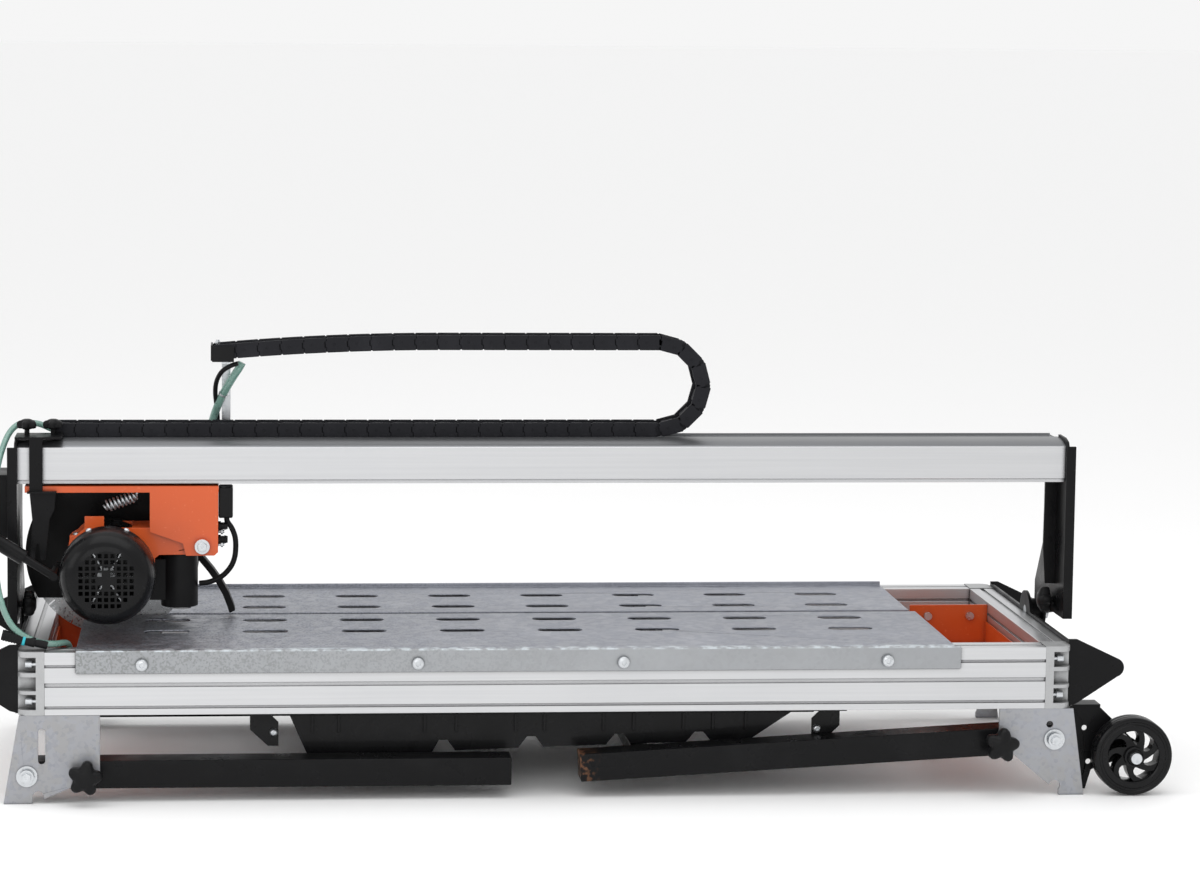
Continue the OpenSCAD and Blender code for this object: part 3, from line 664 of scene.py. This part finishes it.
def wheel_look(node, outward):
    """Moulded wheel: ribbed tyre, dished rim, hub and seven leaning spokes."""
    lo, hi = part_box(node)
    centre = (lo + hi) / 2
    inner = Vector((centre.x, lo.y if outward > 0 else hi.y, centre.z))
    axis = Y * outward
    scale = (hi.z - lo.z) / 2 / TYRE_RADIUS
    tyre = [(37, 1), (45, 0), (53.5, 0), (56, 1.5), (57, 5), (57, 9), (56.2, 9.6), (56.2, 11), (57, 11.6),
            (57, 18.4), (56.2, 19), (56.2, 20.4), (57, 21), (57, 25), (56, 28.5), (53.5, 30), (51, 30),
            (50, 28.6), (47, 28.6), (46, 30), (40, 30), (37.5, 28.5), (36.5, 20), (36.5, 10)]
    hub = [(6.4, 0), (14, 0), (15, 1), (15, 33), (14, 34), (12, 34), (11, 32.5), (8, 32.5), (6.4, 33.5)]

    def build(bm):
        add_lathe(bm, [(r * scale, h * MM) for r, h in tyre], inner, axis, 96)
        add_lathe(bm, [(r * MM, h * MM) for r, h in hub], inner, axis, 40)
        for i in range(SPOKES):
            turn = math.tau * i / SPOKES
            rows = []
            for step in range(SPOKE_STEPS + 1):
                t = step / SPOKE_STEPS
                r = (13 + 26 * t) * MM
                a = turn + 0.55 * t * t
                half = (4.6 + 3.6 * abs(2 * t - 1) ** 2) * MM
                depth = (26 - 3 * math.sin(math.pi * t)) * MM
                rows.append((r, a, half, depth))
            add_spoke(bm, rows, inner, axis)
    obj = piece(node + "_look", node, "wheel_plastic", build, 0.0005, 40)
    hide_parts(node)


def add_spoke(bm, rows, inner, axis):
    """A spoke through rows of (radius, angle, half width, depth)."""
    place = Matrix.Translation(inner) @ frame_from(axis)
    rings = []
    for r, a, half, depth in rows:
        out = Vector((math.cos(a), math.sin(a), 0))
        across = Vector((-math.sin(a), math.cos(a), 0))
        low, top = Vector((0, 0, 5 * MM)), Vector((0, 0, depth))
        corners = [out * r - across * half + low, out * r + across * half + low,
                   out * r + across * half + top, out * r - across * half + top]
        rings.append([bm.verts.new(place @ c) for c in corners])
    for here, there in zip(rings, rings[1:]):
        for k in range(4):
            m = (k + 1) % 4
            bm.faces.new((here[k], here[m], there[m], there[k]))
    bm.faces.new(rings[0])
    bm.faces.new(list(reversed(rings[-1])))


# ---------------------------------------------------------------- hardware

def add_hex_screw(bm, point, axis, washer, flats, height, plate):
    """Washer, hexagon head and a shallow recess ring, standing out from point."""
    add_cylinder(bm, point, axis, plate, washer, 40)
    add_cylinder(bm, point + axis * plate, axis, height * 0.35, flats * 0.98, 32)
    add_cylinder(bm, point + axis * (plate + height * 0.35), axis, height * 0.65, flats, 6, flats * 0.93)


def add_button_screw(bm, point, axis, radius, height):
    """Low domed head with a socket ring."""
    profile = [(0.42, 0.35), (1, 0), (1, 0.25), (0.92, 0.6), (0.7, 0.9), (0.46, 1), (0.42, 1)]
    add_lathe(bm, [(radius * r, height * h) for r, h in profile], point, axis, 36)
    add_cylinder(bm, point, axis, height * 0.4, radius * 0.6, 6)


def make_screws():
    """Domed heads along the front table's flange."""
    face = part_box("front_table")[0].y

    def build(bm):
        for x in (-581, -190, 104, 486):
            point = mm(x, 0, 200)
            point.y = face - 4.4 * MM
            add_button_screw(bm, point, -Y, 8.5 * MM, 4 * MM)
    piece("table_screw_heads", "frame", "zinc_fasteners", build, 0.0002)


def make_leg_hardware():
    """Hexagon heads of the legs' bolts, on both sides."""
    near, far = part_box("left_feet")

    def build(bm):
        for side, face in ((-1, near.y), (1, far.y)):
            for x, z in ((-743, 40), (733, 82)):
                point = mm(x, 0, z)
                point.y = face + side * 7.4 * MM
                add_hex_screw(bm, point, Y * side, 10.5 * MM, 7.5 * MM, 4.5 * MM, 0.8 * MM)
    piece("leg_bolt_heads", "frame", "zinc_fasteners", build, 0.0003)


def make_head_hardware():
    """Head of the bolt that the orange arm turns on."""
    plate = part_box("carriage_plate")
    pivot = Vector((plate[1].x - 23.5 * MM, plate[0].y, plate[0].z + 14 * MM))

    def build(bm):
        add_hex_screw(bm, pivot, -Y, 11 * MM, 7.4 * MM, 4.2 * MM, 0.6 * MM)
    piece("pivot_bolt_head", "carriage", "zinc_fasteners", build, 0.0003)


# ---------------------------------------------------------------- hoses, cable and spring

HOSE = [(-718, -46, 508), (-742, -48, 519), (-776, -58, 517), (-793, -110, 470), (-796, -170, 410),
        (-790, -215, 345), (-782, -232, 290), (-764, -240, 250), (-732, -238, 230), (-704, -230, 225),
        (-688, -206, 224), (-685, -192, 212), (-685, -150, 192)]
FEED = [(-440, -30, 605), (-444, -30, 597), (-452, -26, 585), (-463, -18, 566), (-473, -9, 546),
        (-481, 0, 524), (-486, 9, 504), (-488, 14, 484), (-488, 14, 430), (-492, 14, 400)]
SUPPLY = [(-446, -52, 606), (-456, -50, 603), (-470, -44, 594), (-478, -30, 578), (-480, -16, 560),
          (-478, -4, 540), (-476, 2, 520), (-476, 10, 500), (-477, 14, 470), (-478, 13, 432)]
LEAD = [(-462, -90, 384.8), (-462, -90, 378), (-454, -90, 368), (-448, -90, 350),
        (-450, -88, 318), (-466, -84, 296), (-486, -80, 286), (-502, -78, 284)]

HOSE_RADIUS = 4.5 * MM
FEED_RADIUS = 6 * MM
SUPPLY_RADIUS = 3.5 * MM
LEAD_RADIUS = 4 * MM


def add_line(bm, route, radius, sides):
    """A hose or cable along a route in millimetres."""
    add_tube(bm, smooth_path([mm(*point) for point in route]), radius, sides)


def make_hoses():
    """Water hose and motor lead run between two bodies and stay fixed where they are drawn; feed hose and
    supply cable ride one.
    """
    bm = bmesh.new()
    add_line(bm, HOSE, HOSE_RADIUS, 16)
    water = mesh_object("water_hose_look", bm, "hose_green", 60)
    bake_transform(water)
    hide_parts("water_hose")
    feed = piece("feed_hose_look", "carriage", "hose_green",
                 lambda bm: add_line(bm, FEED, FEED_RADIUS, 18), 0, 60)
    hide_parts("feed_hose")
    piece("supply_cable", "carriage", "cable_black",
          lambda bm: add_line(bm, SUPPLY, SUPPLY_RADIUS, 14), 0, 60)
    bm = bmesh.new()
    add_line(bm, LEAD, LEAD_RADIUS, 14)
    lead = mesh_object("motor_cable_look", bm, "cable_black", 60)
    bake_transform(lead)
    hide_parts("motor_cable")


def make_spring():
    """Extension spring, drawn in at both ends, between head and carriage."""
    lo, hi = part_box("lift_spring")
    middle = (lo.y + hi.y) / 2
    left = Vector((lo.x + 2 * MM, middle, lo.z + 7 * MM))
    right = Vector((hi.x - 2 * MM, middle, hi.z - 7 * MM))
    axis = (right - left).normalized()
    up = (Z - axis * axis.dot(Z)).normalized()
    side = axis.cross(up)
    turns, steps, radius = 9, 20, 8 * MM
    points = []
    for i in range(turns * steps + 1):
        t = i / (turns * steps)
        a = math.tau * i / steps
        fade = min(1, t * 9, (1 - t) * 9)
        reach = radius * (0.3 + 0.7 * fade)
        points.append(left.lerp(right, t) + (up * math.cos(a) + side * math.sin(a)) * reach)
    bm = bmesh.new()
    add_tube(bm, points, 1.45 * MM, 10)
    obj = mesh_object("lift_spring_look", bm, "zinc_fasteners", 60)
    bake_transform(obj)
    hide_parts("lift_spring")


# ---------------------------------------------------------------- trim

def make_coupling():
    """Hose coupling with a coloured ring, lying on the frame's front left corner."""
    a, b = mm(-778, -238, 241), mm(-714, -238, 225)
    way = (b - a).normalized()

    def build(bm):
        add_tube(bm, [a, a + way * 30 * MM], 7.5 * MM, 20)
        add_tube(bm, [a + way * 34 * MM, a + way * 48 * MM], 7 * MM, 20)
        add_tube(bm, [a + way * 48 * MM, b], 5.6 * MM, 20)
        for i in range(6):
            add_tube(bm, [a + way * (3 + 4 * i) * MM, a + way * (5 + 4 * i) * MM], 8.2 * MM, 12)
    piece("hose_coupling", "frame", "black_plastic", build, 0.0004)

    def ring(bm):
        add_tube(bm, [a + way * 30 * MM, a + way * 34 * MM], 7.9 * MM, 24)
    piece("hose_coupling_ring", "frame", "cyan_ring", ring, 0.0004)


def make_flap():
    """Rubber splash flap behind the blade, hung from the guard."""
    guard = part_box("blade_guard")
    y0, y1 = guard[0].y + 12 * MM, guard[1].y - 7 * MM
    line = [(-520, 322), (-504, 304), (-490, 287), (-478, 270), (-468, 252), (-461, 234), (-458, 224)]

    def build(bm):
        outline = [((x - FRAME_SHIFT) * MM, z * MM) for x, z in line]
        outline += [(u + 9 * MM, v + 4 * MM) for u, v in reversed(outline)]
        add_prism(bm, outline, y0, y1, lambda u, v, d: Vector((u, d, v)))
    piece("splash_flap", "head", "cable_black", build, 0.0015)


def make_glands():
    """Cable glands and hexagon screws on the end of the orange panel."""
    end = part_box("carriage_plate")[1].x - 0.5 * MM

    def build(bm):
        for z in (372, 352):
            base = Vector((end, -95 * MM, z * MM))
            add_cylinder(bm, base, X, 4 * MM, 7 * MM, 6)
            add_cylinder(bm, base + X * 4 * MM, X, 5 * MM, 5.2 * MM, 24)
            add_cylinder(bm, base + X * 9 * MM, X, 5 * MM, 6.4 * MM, 6, 5 * MM)
    piece("panel_glands", "carriage", "black_plastic", build, 0.0004)

    def screws(bm):
        for z in (362, 343):
            base = Vector((end, -84 * MM, z * MM))
            add_cylinder(bm, base, X, 9 * MM, 2.4 * MM, 16)
            add_cylinder(bm, base + X * 4 * MM, X, 3 * MM, 4.4 * MM, 6)
    piece("panel_screws", "carriage", "zinc_fasteners", screws, 0.0002)


def make_chain_end():
    """Black end bracket that holds the chain's last link on the strut, with its screw."""
    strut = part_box("chain_strut")
    x0, x1 = strut[0].x - 10 * MM, strut[1].x + 5 * MM
    seat = strut[1].z + 0.3 * MM

    def block(bm, left, right, near, far, low, high):
        add_block(bm, (left, near * MM, low), (right, far * MM, high))

    def build(bm):
        for y in (-64.5, -21.5):
            block(bm, x0, x1, y - 1.2, y + 1.2, seat, seat + 22.7 * MM)
        block(bm, x0, x1, -65, -20.5, seat, seat + 1.7 * MM)
        block(bm, x0 - 2 * MM, x0 + 1 * MM, -65, -20.5, seat + 1.7 * MM, seat + 24.7 * MM)
    piece("chain_end_bracket", "carriage", "black_plastic", build, 0.0006)

    def screw(bm):
        base = Vector((x0 + 8 * MM, -42 * MM, seat + 21.7 * MM))
        add_cylinder(bm, base, Z, 9 * MM, 2.6 * MM, 16)
        add_cylinder(bm, base + Z * 3.5 * MM, Z, 3 * MM, 4.8 * MM, 6)
    piece("chain_end_screw", "carriage", "zinc_fasteners", screw, 0.0002)


def make_ties():
    """Cable tie round the feed hose, with its small locking head."""
    at = mm(-468, -13.5, 556)
    along = Vector((0.45, -0.4, 0.9)).normalized()
    radius, thickness, half = 6.1 * MM, 0.9 * MM, 1.4 * MM

    def tie(bm):
        band = [(radius, -half), (radius + thickness, -half), (radius + thickness, half), (radius, half)]
        add_lathe(bm, band, at, along, 28)
        up = along.orthogonal().normalized()
        corner = Vector((2, 2, 2)) * MM
        add_block(bm, at + up * radius - corner, at + up * (radius + 3 * MM) + corner)
    piece("hose_tie", "carriage", "zinc_fasteners", tie, 0.0002)


def make_tray_ribs():
    """Rim and draft ribs on the front and rear faces of the water tray."""
    lo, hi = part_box("water_tray")
    ribs = [-338, -300, -176, -130, -44, -2, 84, 128, 201, 244, 292]

    def build(bm):
        for side in (-1, 1):
            face = lo.y if side < 0 else hi.y
            near, far = sorted((face - side * 0.4 * MM, face + side * 3.2 * MM))
            add_block(bm, (lo.x + 8 * MM, near, hi.z - 15 * MM), (hi.x - 8 * MM, far, hi.z - 9 * MM))
            for x in ribs:
                u = (x - FRAME_SHIFT) * MM
                add_block(bm, (u - 2.2 * MM, near, 86 * MM), (u + 2.2 * MM, far - 0.8 * MM, hi.z - 9.5 * MM))
    piece("tray_ribs", "frame", "tray_plastic", build, 0.0009)


def make_hanger_screws():
    """Bright button screws on the water tray's hangers."""
    lo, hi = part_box("tray_hangers")

    def build(bm):
        for side in (-1, 1):
            for x in (lo.x + 36 * MM, hi.x - 36 * MM):
                point = Vector((x, side * 202.6 * MM, lo.z + 20 * MM))
                add_button_screw(bm, point, Y * side, 6 * MM, 7 * MM)
    piece("hanger_screws", "frame", "zinc_fasteners", build, 0.0002)


def make_arm_trim():
    """Clip with its screw on the arm's left shoulder, and the fan cover's two screws."""
    def build(bm):
        add_block(bm, mm(-690, -105, 352), mm(-672, -90, 360))
    piece("arm_clip", "head", "orange_paint", build, 0.001)

    def screws(bm):
        add_button_screw(bm, mm(-681, -96, 360), Z, 4.4 * MM, 3 * MM)
        lo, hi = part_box("fan_cover")
        radius = (hi.x - lo.x) / 2
        for angle in (-23, 23):
            out = Vector((math.sin(math.radians(angle)), 0, math.cos(math.radians(angle))))
            rim = Vector(((lo.x + hi.x) / 2, hi.y - 7 * MM, (lo.z + hi.z) / 2)) + out * radius
            add_button_screw(bm, rim, out, 4.4 * MM, 3 * MM)
    piece("arm_screws", "head", "zinc_fasteners", screws, 0.0002)


# ---------------------------------------------------------------- light and camera

FLOOR_SIZE = 400
WORLD_STRENGTH = 0.92
CAMERA_PLACE = (-0.48552, -4.51751, 1.09890)
YAW, PITCH, ROLL = (math.radians(degrees) for degrees in (3.952, 5.020, 0.482))
LENS = 91.49


def make_stage():
    """A pale plain floor."""
    bpy.ops.mesh.primitive_plane_add(size=FLOOR_SIZE, location=(0, 0, 0))
    floor = bpy.context.object
    floor.name = "floor"
    s = Shader("floor", (0.98, 0.98, 0.98), 0.75)
    s.roughen(s.noise(3, 3), 0.7, 0.8)
    floor.data.materials.append(s.material)


def area_light(name, place, target, size, power):
    data = bpy.data.lights.new(name, "AREA")
    data.shape = "RECTANGLE"
    data.size, data.size_y = size
    data.energy = power
    obj = bpy.data.objects.new(name, data)
    bpy.context.collection.objects.link(obj)
    obj.location = place
    obj.rotation_euler = (Vector(target) - Vector(place)).to_track_quat("-Z", "Y").to_euler()


def make_light():
    """Even white studio light, with soft boxes above, in front and to the left."""
    world = bpy.data.worlds.new("studio")
    bpy.context.scene.world = world
    world.use_nodes = True
    background = world.node_tree.nodes["Background"]
    background.inputs["Color"].default_value = (1, 1, 1, 1)
    background.inputs["Strength"].default_value = WORLD_STRENGTH
    area_light("top", (-0.2, -0.6, 3.0), (0, 0, 0.2), (3.6, 2.2), 34)
    area_light("front", (-1.2, -3.6, 1.6), (0, 0, 0.3), (2.6, 1.6), 16)
    area_light("left", (-3.2, -1.2, 1.4), (0, 0, 0.3), (1.4, 1.4), 8)
    bpy.context.scene.view_settings.view_transform = "Standard"
    bpy.context.scene.view_settings.look = "None"


def make_camera():
    """A long lens from just above the table, turned a little to the right."""
    data = bpy.data.cameras.new("camera")
    camera = bpy.data.objects.new("camera", data)
    bpy.context.collection.objects.link(camera)
    bpy.context.scene.camera = camera
    data.lens = LENS
    data.sensor_width = 36
    data.shift_x = 0.13
    data.shift_y = -0.1156
    ahead = Vector((math.sin(YAW) * math.cos(PITCH), math.cos(YAW) * math.cos(PITCH), -math.sin(PITCH)))
    flat = ahead.cross(Z).normalized()
    upright = flat.cross(ahead)
    right = flat * math.cos(ROLL) + upright * math.sin(ROLL)
    up = upright * math.cos(ROLL) - flat * math.sin(ROLL)
    turn = Matrix((right, up, -ahead)).transposed().to_4x4()
    camera.matrix_world = Matrix.Translation(CAMERA_PLACE) @ turn
    data.clip_end = FLOOR_SIZE + 100


LOOK = make_materials()
dress_nodes()
make_chain()
make_knobs()
wheel_look("front_wheel", -1)
wheel_look("rear_wheel", 1)
make_screws()
make_leg_hardware()
make_head_hardware()
make_hoses()
make_spring()
make_coupling()
make_flap()
make_glands()
make_chain_end()
make_ties()
make_tray_ribs()
make_hanger_screws()
make_arm_trim()
make_stage()
make_light()
make_camera()
